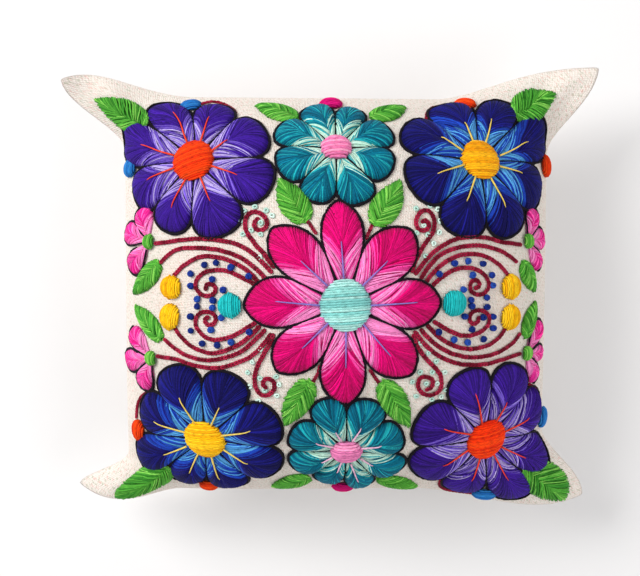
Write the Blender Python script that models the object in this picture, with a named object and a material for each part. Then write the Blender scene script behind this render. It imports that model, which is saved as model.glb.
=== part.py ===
"""A square pillow cover of cream cloth, worked in wool and filled, lying on its back.

Units are metres, +Z is up, +X runs to the right of the worked face and +Y to its top edge.
The origin is under the middle of the pillow, on the surface that it lies on.

Every motif is laid out on the flat cloth, in millimetres from the middle of the panel.
cloth_point() then carries a place on the flat cloth to the filled, bulging face.
"""

import math
from collections import namedtuple

import bmesh
import bpy
from mathutils import Vector

MM = 0.001
COLLECTION = "embroidered_pillow_cover"

# The cover: two panels sewn together all round, pulled in at the waist by the filling.
CLOTH_HALF = 225
WAIST_HALF = 172.5
TALL_HALF = 161.0
SEAM_HEIGHT = 74.0
FACE_CROWN = 98.0
BACK_CROWN = 100.0
REST_BLEND = 12.0
EDGE_HALF = 1.6
FULLNESS = 0.75
CLOTH_TURN = math.radians(75)
CLOTH_SPREAD = math.radians(60)
EAR_PULL = 5
CELLS = 24
SEAM_CROWDING = 0.3

# The ears are uneven, so the middle of the cloth lies this far from the middle of the whole.
MIDDLE_X = 3.2
MIDDLE_Y = -4.7

# The ears: where each tip lies, how far it lifts off the seam's level, where along the upright
# and the level seam the ear begins, how far the level seam swells beside the ear, and how
# much nearer the tip than midway that swell lies.
Ear = namedtuple("Ear", "x y lift upright_start level_start swell hang")
EARS = {
    (-1, 1): Ear(-223, 172.5, 16, 0.71, 0.64, 6, 3.4),
    (1, 1): Ear(214, 188.5, 6, 0.69, 0.44, 0, 1),
    (-1, -1): Ear(-217, -159.5, -22, 0.80, 0.70, 12, 1.7),
    (1, -1): Ear(214, -172.5, -20, 0.66, 0.30, 8, 3),
}

# Raised work lies this far off the cloth, and so does one layer off another. The cloth turns
# more sharply near the seam, so there the work stands a little further off.
GAP = 0.7
SEAM_GAP = 1.1
PETALS = 8
STEPS_PER_PETAL = 5
PETAL_HEIGHT = 6.0
VALLEY_HEIGHT = 2.2
RIM_HEIGHT = 1.6
DISC_BED = 2.0
DISC_HEIGHT = 5.0
LEAF_HEIGHT = 4.2
BUD_HEIGHT = 5.0
SIDE_FLOWER_HEIGHT = 4.4
VINE_HALF = 1.8
VINE_HEIGHT = 2.2
VINE_STEP = 10.0
SCROLL_STEP = 6.5

# Flowers: middle, reach of the petals across and up, angle of the first petal, depth of the
# notches between petals as a share of the reach, and the half axes of the domed middle.
Flower = namedtuple("Flower", "name x y reach_x reach_y first notch disc_x disc_y colour disc_colour")
FLOWERS = (
    Flower("center", 0, 1, 77, 90, 0, 0.70, 20.5, 23, "magenta", "aqua"),
    Flower("top_left", -134, 137, 75, 76, 22.5, 0.78, 19.5, 20, "purple", "orange"),
    Flower("top_right", 128, 138, 77, 74, 22.5, 0.78, 19.5, 20, "navy", "yellow"),
    Flower("bottom_left", -125, -139, 75, 75, 22.5, 0.78, 19.5, 20, "navy", "yellow"),
    Flower("bottom_right", 139, -141, 76, 74, 22.5, 0.78, 19.5, 20, "purple", "orange"),
    Flower("top", -6, 149, 52, 60, 22.5, 0.80, 13, 15, "teal", "pink"),
    Flower("bottom", 4, -147, 52, 61, 22.5, 0.80, 14, 15, "teal", "pink"),
)

# Leaves: base, tip and half width.
Leaf = namedtuple("Leaf", "name base_x base_y tip_x tip_y half_width")
LEAVES = (
    Leaf("corner_top_left", -182, 187, -212, 206, 12),
    Leaf("corner_top_right", 177, 186, 205, 209, 12),
    Leaf("corner_bottom_left", -173, -187, -203, -213, 12),
    Leaf("corner_bottom_right", 184, -187, 210, -214, 11),
    Leaf("high_left", -40, 188, -82, 212, 9),
    Leaf("high_right", 29, 188, 66, 207, 9),
    Leaf("low_left", -31, -189, -68, -212, 9),
    Leaf("low_right", 39, -189, 82, -212, 9),
    Leaf("upper_left", -33, 72, -57, 110, 10),
    Leaf("upper_right", 24, 72, 49, 110, 10),
    Leaf("lower_left", -24, -68, -51, -110, 10),
    Leaf("lower_right", 29, -70, 59, -110, 10),
    Leaf("side_left_up", -169, 34, -205, 6, 9),
    Leaf("side_left_down", -168, -35, -203, -8, 9),
    Leaf("side_right_up", 170, 35, 194, 8, 8.5),
    Leaf("side_right_down", 175, -38, 198, -6, 8.5),
)
LEAF_STEPS = 7

# Buds: middle, half axes, colour, and how far each is pressed nearer the cloth than its
# neighbours. The rim buds sit in the outer notches of the flowers.
Bud = namedtuple("Bud", "name x y half_x half_y colour pressed")
BUDS = (
    Bud("bud_left_up", -155, 13, 10, 10.5, "yellow", 0),
    Bud("bud_left_down", -156, -14, 9.5, 12, "yellow", 0),
    Bud("bud_right_up", 156, 15, 10, 12, "yellow", 0),
    Bud("bud_right_down", 156, -14, 10, 12, "yellow", 0),
    Bud("bud_inner_left", -97, -1, 10.5, 11.5, "aqua", 0),
    Bud("bud_inner_right", 95, 1, 10.5, 11.5, "aqua", 0),
    Bud("rim_bud_top_left", -134, 212, 8, 7, "blue", 0.6),
    Bud("rim_bud_side_left", -209, 138, 8, 9, "blue", 0.6),
    Bud("rim_bud_top", -6, 213, 9, 7, "pink", 0.6),
    Bud("rim_bud_top_right", 128, 211, 8, 7, "orange", 0.6),
    Bud("rim_bud_side_right", 206, 140, 8, 9, "orange", 0.6),
    Bud("rim_bud_low_left", -202, -141, 8, 10, "orange", 0.6),
    Bud("rim_bud_bottom_left", -125, -213, 8, 7, "orange", 0.8),
    Bud("rim_bud_bottom", 4, -212, 9, 7, "pink", 0.6),
    Bud("rim_bud_bottom_right", 139, -213, 8, 7, "blue", 0.6),
    Bud("rim_bud_low_right", 214, -141, 7, 9, "blue", 0.6),
)
BUD_STEPS = 12

# Side flowers: three petals round a green cup, opening towards the seam.
SideFlower = namedtuple("SideFlower", "name x y")
SIDE_FLOWERS = (
    SideFlower("left_up", -184, 57),
    SideFlower("left_down", -183, -59),
    SideFlower("right_up", 182, 59),
    SideFlower("right_down", 185, -57),
)
SIDE_PETAL_ANGLES = (66, 16, -40)
SIDE_PETAL_REACH = 28
SIDE_CUP_REACH = 8
SIDE_FLOWER_STEPS = 24

# Vines and scrolls, in the upper right quarter and mirrored into the others. All four arms
# of a vine leave one root in the notch of the middle flower.
VINE_ROOT = (63, 27)
VINE_ARMS = (
    ((71, 37), (79, 46), (90, 52.5), (107, 57), (129, 59), (152, 57), (171, 55)),
    ((78, 38), (97, 46), (118, 50.5), (140, 50), (155, 44), (163, 39)),
    ((78, 31), (92, 37), (107, 42), (123, 42), (138, 35), (148, 27.5)),
    ((70, 24.5), (79, 23), (89, 27), (102, 30.5), (117, 28.5), (127, 22), (127, 12), (118, 6.5), (111, 11), (115, 17)),
)
SCROLL = ((64, 41), (71, 51), (78, 62), (81.5, 74), (78, 82), (70.5, 84), (64, 78), (64, 70), (70, 66.5), (74, 72))

COLOURS = {
    "cream": (0.86, 0.81, 0.73, 1),
    "magenta": (0.72, 0.01, 0.17, 1),
    "purple": (0.06, 0.02, 0.30, 1),
    "navy": (0.01, 0.01, 0.22, 1),
    "teal": (0.0, 0.21, 0.28, 1),
    "pink": (0.75, 0.20, 0.40, 1),
    "aqua": (0.12, 0.55, 0.58, 1),
    "orange": (0.90, 0.08, 0.01, 1),
    "yellow": (0.87, 0.38, 0.01, 1),
    "blue": (0.03, 0.22, 0.58, 1),
    "green": (0.07, 0.38, 0.04, 1),
    "burgundy": (0.31, 0.01, 0.04, 1),
}
WOOL_ROUGHNESS = 0.85
CLOTH_ROUGHNESS = 0.92


def ease(x):
    """0 to 1 with level ends."""
    x = min(max(x, 0.0), 1.0)
    return x * x * (3 - 2 * x)


def spread(t, across):
    """Cloth over the crown lies wider apart than cloth turning down to the seam."""
    arc = math.sin(CLOTH_SPREAD * t) / math.sin(CLOTH_SPREAD)
    return t + (arc - t) * (1 - abs(across) ** 3)


def rise(t):
    """Height of a slack arc: 1 in the middle and 0 at the seam."""
    low = math.cos(CLOTH_TURN)
    return max((math.cos(CLOTH_TURN * t) - low) / (1 - low), 0.0)


def plan(u, v):
    """Place of the cloth seen from above, for u and v from -1 to 1 across and up the panel."""
    ear = EARS[1 if u >= 0 else -1, 1 if v >= 0 else -1]
    across, up = abs(spread(u, v)), abs(spread(v, u))
    along = min(max((abs(u) - ear.level_start) / (1 - ear.level_start), 0.0), 1.0)
    out_x = (abs(ear.x) - WAIST_HALF) * ease((abs(v) - ear.upright_start) / (1 - ear.upright_start))
    swell = along**ear.hang
    out_y = (abs(ear.y) - TALL_HALF) * ease(along) + 4 * ear.swell * swell * (1 - swell)
    x = WAIST_HALF * across + out_x * across**EAR_PULL
    y = TALL_HALF * up + out_y * up**EAR_PULL
    return MIDDLE_X + math.copysign(x, u), MIDDLE_Y + math.copysign(y, v)


def seam_level(u, v):
    """Height of the seam's sheet: level, with each ear lifted or let down."""
    ear = EARS[1 if u >= 0 else -1, 1 if v >= 0 else -1]
    return SEAM_HEIGHT + ear.lift * abs(u * v) ** EAR_PULL


def soft_floor(z):
    """z, but never under 0, with a rounded turn into the flat that the pillow lies on."""
    bite = max(REST_BLEND - abs(z), 0.0) / REST_BLEND
    return max(z, 0.0) + bite * bite * REST_BLEND / 4


def skin(u, v, side):
    """A place on the filled cover in millimetres: side 1 is the worked face and -1 the back."""
    x, y = plan(u, v)
    swell = (rise(u) * rise(v)) ** FULLNESS
    edge = EDGE_HALF * (1 - max(abs(u), abs(v)) ** 12)
    if side > 0:
        return Vector((x, y, seam_level(u, v) + edge + FACE_CROWN * swell))
    return Vector((x, y, soft_floor(seam_level(u, v) - edge - BACK_CROWN * swell)))


def gap_at(x, y):
    """How far the raised work stands off the cloth here."""
    return GAP + SEAM_GAP * (max(abs(x), abs(y)) / CLOTH_HALF) ** 8


def cloth_point(x, y, lift):
    """A place on the flat cloth carried to the filled face and raised off it, in millimetres."""
    step = 0.004
    u = min(max(x / CLOTH_HALF, -1 + step), 1 - step)
    v = min(max(y / CLOTH_HALF, -1 + step), 1 - step)
    right = skin(u + step, v, 1) - skin(u - step, v, 1)
    up = skin(u, v + step, 1) - skin(u, v - step, 1)
    return skin(u, v, 1) + right.cross(up).normalized() * lift


def material(colour):
    """The wool or cloth of this colour, made once."""
    made = bpy.data.materials.get(colour)
    if made is None:
        made = bpy.data.materials.new(colour)
        made.use_nodes = True
        shader = made.node_tree.nodes["Principled BSDF"]
        shader.inputs["Base Color"].default_value = COLOURS[colour]
        shader.inputs["Roughness"].default_value = CLOTH_ROUGHNESS if colour == "cream" else WOOL_ROUGHNESS
        shader.inputs["Metallic"].default_value = 0.0
        made.diffuse_color = COLOURS[colour]
    return made


def add_object(name, bm, colour, middle=None):
    """A smooth object from a mesh in millimetres, its origin at the given place."""
    origin = middle or Vector((0, 0, 0))
    for vert in bm.verts:
        vert.co = (vert.co - origin) * MM
    bmesh.ops.recalc_face_normals(bm, faces=bm.faces)
    if bm.calc_volume(signed=True) < 0:
        bmesh.ops.reverse_faces(bm, faces=bm.faces)
    mesh = bpy.data.meshes.new(name)
    bm.to_mesh(mesh)
    bm.free()
    mesh.shade_smooth()
    mesh.materials.append(material(colour))
    made = bpy.data.objects.new(name, mesh)
    made.location = origin * MM
    bpy.data.collections[COLLECTION].objects.link(made)
    return made


def loft(rings):
    """One closed skin through rings of points, each end closed to a single point."""
    bm = bmesh.new()
    loops = [[bm.verts.new(point) for point in ring] for ring in rings]
    for near, far in zip(loops, loops[1:]):
        count = max(len(near), len(far))
        for i in range(count):
            j = (i + 1) % count
            corners = [near[i % len(near)], near[j % len(near)], far[j % len(far)], far[i % len(far)]]
            bm.faces.new(list(dict.fromkeys(corners)))
    return bm


def add_patch(name, middle, outline, under, over, colour, bed=0):
    """A raised patch of stitches. outline is its edge on the flat cloth; under and over list
    its rings as (share of the way out, height), where a height may be a function of the step."""

    def ring(share, height):
        places = []
        for step, (x, y) in enumerate(outline):
            tall = height(step) if callable(height) else height
            px = middle[0] + (x - middle[0]) * share
            py = middle[1] + (y - middle[1]) * share
            places.append(cloth_point(px, py, gap_at(px, py) + bed + tall))
        return places

    low = gap_at(*middle) + bed
    rings = [[cloth_point(*middle, low)]]
    rings += [ring(share, height) for share, height in under]
    rings += [ring(share, height) for share, height in over]
    top = over[-1][1]
    rings.append([cloth_point(*middle, low + (top(0) if callable(top) else top))])
    return add_object(name, loft(rings), colour, cloth_point(*middle, 0))


def petal_wave(step):
    """1 on the middle of a petal and 0 in the notch between two."""
    turn = (step % STEPS_PER_PETAL) / STEPS_PER_PETAL - 0.5
    return math.cos(math.pi * turn) ** 0.7


def add_cover():
    """Front and back panel, each a sheet of cells shaped over the filling, joined at the seam."""
    bm = bmesh.new()
    for side in (1, -1):
        made = bmesh.ops.create_grid(bm, x_segments=CELLS, y_segments=CELLS, size=1)
        for vert in made["verts"]:
            u, v = (t * (1 + SEAM_CROWDING * (1 - t * t)) for t in vert.co.xy)
            vert.co = skin(u, v, side)
    bmesh.ops.remove_doubles(bm, verts=bm.verts, dist=0.001)
    return add_object("pillow_cover", bm, "cream")


def add_flower(flower):
    """Eight padded petals in one rosette, and the domed middle on it."""
    count = PETALS * STEPS_PER_PETAL
    outline = []
    for step in range(count):
        angle = math.radians(flower.first + 360 * (step / count - 0.5 / PETALS))
        reach = flower.notch + (1 - flower.notch) * petal_wave(step)
        outline.append((flower.x + flower.reach_x * reach * math.cos(angle), flower.y + flower.reach_y * reach * math.sin(angle)))
    bed = 1.08 * max(flower.disc_x / flower.reach_x, flower.disc_y / flower.reach_y)
    under = ((0.34, 0), (0.62, 0), (0.83, 0), (1.0, 0))
    over = (
        (1.0, RIM_HEIGHT),
        (0.90, lambda step: VALLEY_HEIGHT + (0.75 * PETAL_HEIGHT - VALLEY_HEIGHT) * petal_wave(step)),
        (0.64, lambda step: VALLEY_HEIGHT + (PETAL_HEIGHT - VALLEY_HEIGHT) * petal_wave(step)),
        (bed, DISC_BED),
    )
    middle = (flower.x, flower.y)
    add_patch("flower_" + flower.name, middle, outline, under, over, flower.colour)
    disc = ellipse(flower.x, flower.y, flower.disc_x, flower.disc_y, count // 2)
    rise_rings = ((1.0, 0.4 * DISC_HEIGHT), (0.75, 0.85 * DISC_HEIGHT), (0.4, DISC_HEIGHT))
    under_disc = ((1.0, 0),)
    add_patch("disc_" + flower.name, middle, disc, under_disc, rise_rings, flower.disc_colour, DISC_BED + 1.5 * GAP)


def ellipse(x, y, half_x, half_y, steps):
    """The edge of an oval on the flat cloth."""
    angles = [2 * math.pi * step / steps for step in range(steps)]
    return [(x + half_x * math.cos(angle), y + half_y * math.sin(angle)) for angle in angles]


def add_leaf(leaf):
    """A pointed oval between its base and its tip, highest along its rib."""
    base, tip = Vector((leaf.base_x, leaf.base_y)), Vector((leaf.tip_x, leaf.tip_y))
    across = Vector((base.y - tip.y, tip.x - base.x)).normalized() * leaf.half_width
    right, left = [], []
    for step in range(LEAF_STEPS + 1):
        share = step / LEAF_STEPS
        width = math.sin(math.pi * share**0.85) ** 0.75
        spine = base.lerp(tip, share)
        right.append(spine - across * width)
        left.append(spine + across * width)
    outline = [tuple(place) for place in right + left[-2:0:-1]]
    middle = tuple(base.lerp(tip, 0.45))
    over = ((1.0, RIM_HEIGHT), (0.5, LEAF_HEIGHT))
    add_patch("leaf_" + leaf.name, middle, outline, ((1.0, 0),), over, "green")


def add_bud(bud):
    """An oval dome of satin stitches."""
    outline = ellipse(bud.x, bud.y, bud.half_x, bud.half_y, BUD_STEPS)
    over = ((1.0, 0.35 * BUD_HEIGHT), (0.55, BUD_HEIGHT))
    add_patch(bud.name, (bud.x, bud.y), outline, ((0.6, 0), (1.0, 0)), over, bud.colour, -bud.pressed)


def add_side_flower(flower):
    """Three petals fanned towards the seam round a short green cup."""
    side = math.copysign(1, flower.x)
    up = math.copysign(1, flower.y)
    outline = []
    for step in range(SIDE_FLOWER_STEPS):
        angle = 360 * step / SIDE_FLOWER_STEPS
        turns = [abs((angle - petal + 180) % 360 - 180) for petal in SIDE_PETAL_ANGLES]
        lobe = max(math.cos(math.radians(min(turn * 3.0, 90))) for turn in turns)
        reach = SIDE_CUP_REACH + (SIDE_PETAL_REACH - SIDE_CUP_REACH) * lobe**0.45
        x = flower.x + side * reach * math.cos(math.radians(angle))
        outline.append((x, flower.y + up * reach * math.sin(math.radians(angle))))
    over = ((1.0, RIM_HEIGHT), (0.6, SIDE_FLOWER_HEIGHT))
    add_patch("side_flower_" + flower.name, (flower.x, flower.y), outline, ((0.55, 0), (1.0, 0)), over, "pink")


def smooth_route(places, step):
    """Evenly spaced places on one smooth curve through the given ones."""
    ends = [2 * places[0] - places[1], *places, 2 * places[-1] - places[-2]]
    fine = []
    for before, near, far, after in zip(ends, ends[1:], ends[2:], ends[3:]):
        for part in range(12):
            t = part / 12
            slope = (far - before) * t + (2 * before - 5 * near + 4 * far - after) * t**2
            fine.append(near + 0.5 * (slope + (3 * near - before - 3 * far + after) * t**3))
    fine.append(places[-1])
    lengths = [0.0]
    for near, far in zip(fine, fine[1:]):
        lengths.append(lengths[-1] + (far - near).length)
    count = max(2, round(lengths[-1] / step))
    route, at = [], 0
    for index in range(count + 1):
        want = lengths[-1] * index / count
        while at < len(fine) - 2 and lengths[at + 1] < want:
            at += 1
        span = max(lengths[at + 1] - lengths[at], 1e-9)
        route.append(fine[at].lerp(fine[at + 1], min((want - lengths[at]) / span, 1.0)))
    return route


def cord_mesh(places, step, mirror):
    """A flat-bottomed cord along a route on the cloth, mirrored into its quarter."""
    route = smooth_route([Vector(place) for place in places], step)
    route = [Vector((place.x * mirror[0], place.y * mirror[1])) for place in route]
    section = ((-1, 0), (-0.6, 1), (0.6, 1), (1, 0))
    rings = []
    for index, place in enumerate(route):
        ahead = route[min(index + 1, len(route) - 1)] - route[max(index - 1, 0)]
        across = Vector((-ahead.y, ahead.x)).normalized() * VINE_HALF
        low = gap_at(*place)
        rings.append([cloth_point(*(place + across * side), low + VINE_HEIGHT * tall) for side, tall in section])
    ends = [[sum(ring, Vector()) / len(ring)] for ring in (rings[0], rings[-1])]
    return loft([ends[0], *rings, ends[1]])


def add_cord(name, places, step, mirror):
    middle = places[len(places) // 2]
    origin = cloth_point(middle[0] * mirror[0], middle[1] * mirror[1], 0)
    return add_object(name, cord_mesh(places, step, mirror), "burgundy", origin)


def add_vine(name, mirror):
    """Four stitched arms that leave one root, joined into one piece."""
    arms = []
    for index, arm in enumerate(VINE_ARMS):
        arm_name = name if index == 0 else f"{name}_arm_{index}"
        arms.append(add_cord(arm_name, (VINE_ROOT, *arm), VINE_STEP, mirror))
    vine, others = arms[0], arms[1:]
    for other in others:
        join = vine.modifiers.new("join " + other.name, "BOOLEAN")
        join.operation = "UNION"
        join.object = other
    graph = bpy.context.evaluated_depsgraph_get()
    joined = bpy.data.meshes.new_from_object(vine.evaluated_get(graph))
    vine.modifiers.clear()
    vine.data = joined
    vine.data.shade_smooth()
    for other in others:
        bpy.data.objects.remove(other)
    return vine


def main():
    for old in list(bpy.data.objects):
        bpy.data.objects.remove(old)
    bpy.context.scene.collection.children.link(bpy.data.collections.new(COLLECTION))
    cover = add_cover()
    for flower in FLOWERS:
        add_flower(flower)
    for leaf in LEAVES:
        add_leaf(leaf)
    for bud in BUDS:
        add_bud(bud)
    for flower in SIDE_FLOWERS:
        add_side_flower(flower)
    for up, up_name in ((1, "up"), (-1, "down")):
        for side, side_name in ((-1, "left"), (1, "right")):
            add_vine(f"vine_{side_name}_{up_name}", (side, up))
            add_cord(f"scroll_{side_name}_{up_name}", SCROLL, SCROLL_STEP, (side, up))
    for piece in bpy.data.collections[COLLECTION].objects:
        if piece is not cover:
            piece.parent = cover


main()
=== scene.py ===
"""The looks of a filled square pillow cover, worked in wool on cream cloth.

Metres, +Z up. The cover lies on its back, and +Y is the top edge of the worked face.
Places on the work are given on the flat cloth, in millimetres from the middle of the panel.
"""

import math

import bpy
import numpy as np
from mathutils import Matrix, Vector


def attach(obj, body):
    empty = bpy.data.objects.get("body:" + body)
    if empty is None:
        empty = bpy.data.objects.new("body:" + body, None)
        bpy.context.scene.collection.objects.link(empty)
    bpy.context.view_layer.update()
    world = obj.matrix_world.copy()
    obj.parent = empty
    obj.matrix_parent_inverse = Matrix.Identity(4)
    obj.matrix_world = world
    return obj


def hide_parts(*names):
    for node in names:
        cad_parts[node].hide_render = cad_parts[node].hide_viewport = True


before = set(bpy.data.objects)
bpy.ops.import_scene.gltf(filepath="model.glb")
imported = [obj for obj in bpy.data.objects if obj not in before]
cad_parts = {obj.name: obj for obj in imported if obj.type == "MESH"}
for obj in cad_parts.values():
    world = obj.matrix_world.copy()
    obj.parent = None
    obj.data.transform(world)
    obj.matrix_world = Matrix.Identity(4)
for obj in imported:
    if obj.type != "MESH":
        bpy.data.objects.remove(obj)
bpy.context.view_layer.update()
MM = 0.001
scene = bpy.context.scene


def show(name, data):
    """Puts a new object into the scene."""
    made = bpy.data.objects.new(name, data)
    scene.collection.objects.link(made)
    return made


# The camera looks down on the worked face, leaning a little to its left and top, as the
# photograph does. The shift puts the middle of the cover where the photograph has it.
FRAME_WIDTH = 640
LENS_PIXELS = 1390.8
SENSOR = 36.0
AIM = Vector((0.0032, -0.0047, 0.110))
LEAN_LEFT, LEAN_TOP = math.radians(-3.66), math.radians(4.77)
CAMERA_DISTANCE = 1.1
RIGHT_OF_MIDDLE, BELOW_MIDDLE = 20.0, 11.0

towards = Vector((math.tan(LEAN_LEFT), math.tan(LEAN_TOP), 1)).normalized()
rightwards = (Vector((1, 0, 0)) - towards * towards.x).normalized()
upwards = towards.cross(rightwards)
view = bpy.data.cameras.new("camera")
camera = show("camera", view)
axes = Matrix((rightwards, upwards, towards)).transposed()
camera.matrix_world = Matrix.Translation(AIM + towards * CAMERA_DISTANCE) @ axes.to_4x4()
view.sensor_width = SENSOR
view.lens = LENS_PIXELS / FRAME_WIDTH * SENSOR
view.shift_x = -RIGHT_OF_MIDDLE / FRAME_WIDTH
view.shift_y = BELOW_MIDDLE / FRAME_WIDTH
view.clip_start, view.clip_end = 0.05, 50
scene.camera = camera


# The studio: a wide pale floor, a big soft window to the upper left and a weaker one opposite.
# Colours are shown as they are, because the wools are at their strongest.
scene.view_settings.view_transform = "Standard"
FLOOR_HALF, FLOOR_DROP = 6.0, 0.0005
FLOOR_GREY = (0.86, 0.86, 0.87, 1)
SKY_COLOUR, SKY_STRENGTH = (1.0, 0.99, 0.985, 1), 0.54
WINDOWS = (
    # name, place, width, strength in watts, colour
    ("window", (-1.55, 0.95, 1.5), 1.1, 44.0, (1.0, 0.985, 0.965)),
    ("far_window", (1.6, -0.6, 1.5), 1.6, 17.0, (1.0, 0.985, 0.97)),
)

for name, place, width, watts, colour in WINDOWS:
    lamp = bpy.data.lights.new(name, "AREA")
    lamp.size, lamp.energy, lamp.color = width, watts, colour
    shown = show(name, lamp)
    shown.location = place
    shown.rotation_euler = (AIM - shown.location).to_track_quat("-Z", "Y").to_euler()
world = bpy.data.worlds.new("studio")
world.use_nodes = True
sky = world.node_tree.nodes["Background"].inputs
sky["Color"].default_value, sky["Strength"].default_value = SKY_COLOUR, SKY_STRENGTH
scene.world = world

floor_mesh = bpy.data.meshes.new("floor")
corners = np.array(((-1, -1, 0), (1, -1, 0), (1, 1, 0), (-1, 1, 0))) * FLOOR_HALF
floor_mesh.from_pydata((corners - (0, 0, FLOOR_DROP)).tolist(), [], [(0, 1, 2, 3)])
floor = show("floor", floor_mesh)
floor_paint = bpy.data.materials.new("pale floor")
floor_paint.use_nodes = True
floor_shader = floor_paint.node_tree.nodes["Principled BSDF"]
floor_shader.inputs["Base Color"].default_value = FLOOR_GREY
floor_shader.inputs["Roughness"].default_value = 0.7
floor_mesh.materials.append(floor_paint)


# The cover: two square panels of coarse hand-woven cream cloth sewn together all round and
# filled, so the sides draw in between four soft ears. skin() gives the filled shape.
CLOTH_HALF = 225.0
WAIST_HALF, TALL_HALF = 172.5, 161.0
SEAM_HEIGHT, FACE_CROWN, BACK_CROWN = 74.0, 98.0, 100.0
REST_BLEND = 12.0
EDGE_HALF = 1.6
FULLNESS = 0.75
CLOTH_TURN, CLOTH_SPREAD = math.radians(75), math.radians(60)
EAR_PULL = 5
MIDDLE = (3.2, -4.7)
# Each ear by its side and its end: how far its tip lies out and up, how far it lifts off the
# seam's level, where it begins along the upright and the level seam, the swell beside it, and
# how much nearer the tip than midway that swell lies.
EARS = np.array(
    (
        ((217, 159.5, -22, 0.80, 0.70, 12, 1.7), (223, 172.5, 16, 0.71, 0.64, 6, 3.4)),
        ((214, 172.5, -20, 0.66, 0.30, 8, 3), (214, 188.5, 6, 0.69, 0.44, 0, 1)),
    )
)
CELLS = 84
RESTING_BELOW, SETTLE_STEPS, EVENING_ROUNDS = 0.5, 20, 60
# Little of the puckers' sideways part is kept, because it would draw the seam in.
PUCKERS_KEPT = (0.2, 0.2, 1)
THREAD_PITCH = 1.5
CREAM, WARM_CREAM = (0.95, 0.90, 0.83), (0.94, 0.83, 0.77)
PALE_CREAM, SHADED_CREAM = (0.93, 0.90, 0.86), (0.70, 0.60, 0.52)
PINK_TICKS, GREEN_TICKS = (0.82, 0.55, 0.49), (0.60, 0.61, 0.48)


def ease(x):
    x = np.clip(x, 0, 1)
    return x * x * (3 - 2 * x)


def spread(t, across):
    """Cloth over the crown lies wider apart than cloth turning down to the seam."""
    arc = np.sin(CLOTH_SPREAD * t) / math.sin(CLOTH_SPREAD)
    return t + (arc - t) * (1 - np.abs(across) ** 3)


def rise(t):
    low = math.cos(CLOTH_TURN)
    return np.maximum((np.cos(CLOTH_TURN * t) - low) / (1 - low), 0)


def skin(u, v, side):
    """Places on the filled cover in millimetres: side 1 is the worked face and -1 the back."""
    ear = np.moveaxis(EARS[(u >= 0) * 1, (v >= 0) * 1], -1, 0)
    tip_x, tip_y, lift, upright_start, level_start, swell, hang = ear
    across, up = np.abs(spread(u, v)), np.abs(spread(v, u))
    along = np.clip((np.abs(u) - level_start) / (1 - level_start), 0, 1)
    out_x = (tip_x - WAIST_HALF) * ease((np.abs(v) - upright_start) / (1 - upright_start))
    out_y = (tip_y - TALL_HALF) * ease(along) + 4 * swell * along**hang * (1 - along**hang)
    x = MIDDLE[0] + np.sign(u) * (WAIST_HALF * across + out_x * across**EAR_PULL)
    y = MIDDLE[1] + np.sign(v) * (TALL_HALF * up + out_y * up**EAR_PULL)
    level = SEAM_HEIGHT + lift * np.abs(u * v) ** EAR_PULL
    full = (rise(u) * rise(v)) ** FULLNESS
    edge = EDGE_HALF * (1 - np.maximum(np.abs(u), np.abs(v)) ** 12)
    if side > 0:
        return np.stack((x, y, level + edge + FACE_CROWN * full), -1)
    back = level - edge - BACK_CROWN * full
    bite = np.maximum(REST_BLEND - np.abs(back), 0) / REST_BLEND
    return np.stack((x, y, np.maximum(back, 0) + bite * bite * REST_BLEND / 4), -1)


def cell_corners(at):
    return np.stack((at[:-1, :-1], at[1:, :-1], at[1:, 1:], at[:-1, 1:]), -1).reshape(-1, 4)


def settle(places, cut, quads):
    """Blows the two sewn panels up, so that the spare cloth puckers at the seam and the ears."""
    mesh = bpy.data.meshes.new("sewn")
    mesh.from_pydata((places * MM).tolist(), [], quads.tolist())
    sewn = show("sewn", mesh)
    sewn.shape_key_add(name="filled")
    as_cut = sewn.shape_key_add(name="as cut")
    as_cut.data.foreach_set("co", (cut * MM).ravel())
    resting = sewn.vertex_groups.new(name="resting")
    resting.add(np.flatnonzero(places[:, 2] < RESTING_BELOW).tolist(), 1.0, "REPLACE")
    cloth = sewn.modifiers.new("cloth", "CLOTH").settings
    cloth.quality = 6
    cloth.mass = 0.3
    cloth.tension_stiffness = cloth.compression_stiffness = 25
    cloth.shear_stiffness = 8
    cloth.bending_stiffness = 0.6
    cloth.use_pressure = True
    cloth.uniform_pressure_force = 4
    cloth.effector_weights.gravity = 0
    cloth.rest_shape_key = as_cut
    cloth.vertex_group_mass = "resting"
    for step in range(1, SETTLE_STEPS + 1):
        scene.frame_set(step)
    moved = np.empty(places.size)
    settled = sewn.evaluated_get(bpy.context.evaluated_depsgraph_get())
    settled.data.vertices.foreach_get("co", moved)
    scene.frame_set(1)
    bpy.data.objects.remove(sewn)
    return moved.reshape(-1, 3) / MM


def even_out(values, quads):
    """The broad part of a field over the cloth, with its puckers averaged away."""
    edges = np.concatenate([quads[:, [i, (i + 1) % 4]] for i in range(4)])
    near = np.bincount(edges.ravel(), minlength=len(values))[:, None]
    for _ in range(EVENING_ROUNDS):
        total = np.zeros_like(values)
        np.add.at(total, edges[:, 0], values[edges[:, 1]])
        np.add.at(total, edges[:, 1], values[edges[:, 0]])
        values = (values + total / near) / 2
    return values


steps = np.linspace(-1, 1, CELLS + 1)
level, up = np.meshgrid(steps, steps, indexing="ij")
inner = np.zeros((CELLS + 1, CELLS + 1), bool)
inner[1:-1, 1:-1] = True
face_at = np.arange((CELLS + 1) ** 2).reshape(CELLS + 1, -1)
back_at = face_at.copy()
back_at[inner] = face_at.size + np.arange(inner.sum())
places = np.concatenate((skin(level, up, 1).reshape(-1, 3), skin(level, up, -1)[inner]))
cut = np.stack((level, up, 0 * up), -1) * CLOTH_HALF
cut = np.concatenate((cut.reshape(-1, 3), cut[inner]))
quads = np.concatenate((cell_corners(face_at), cell_corners(back_at)[:, ::-1]))
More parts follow.
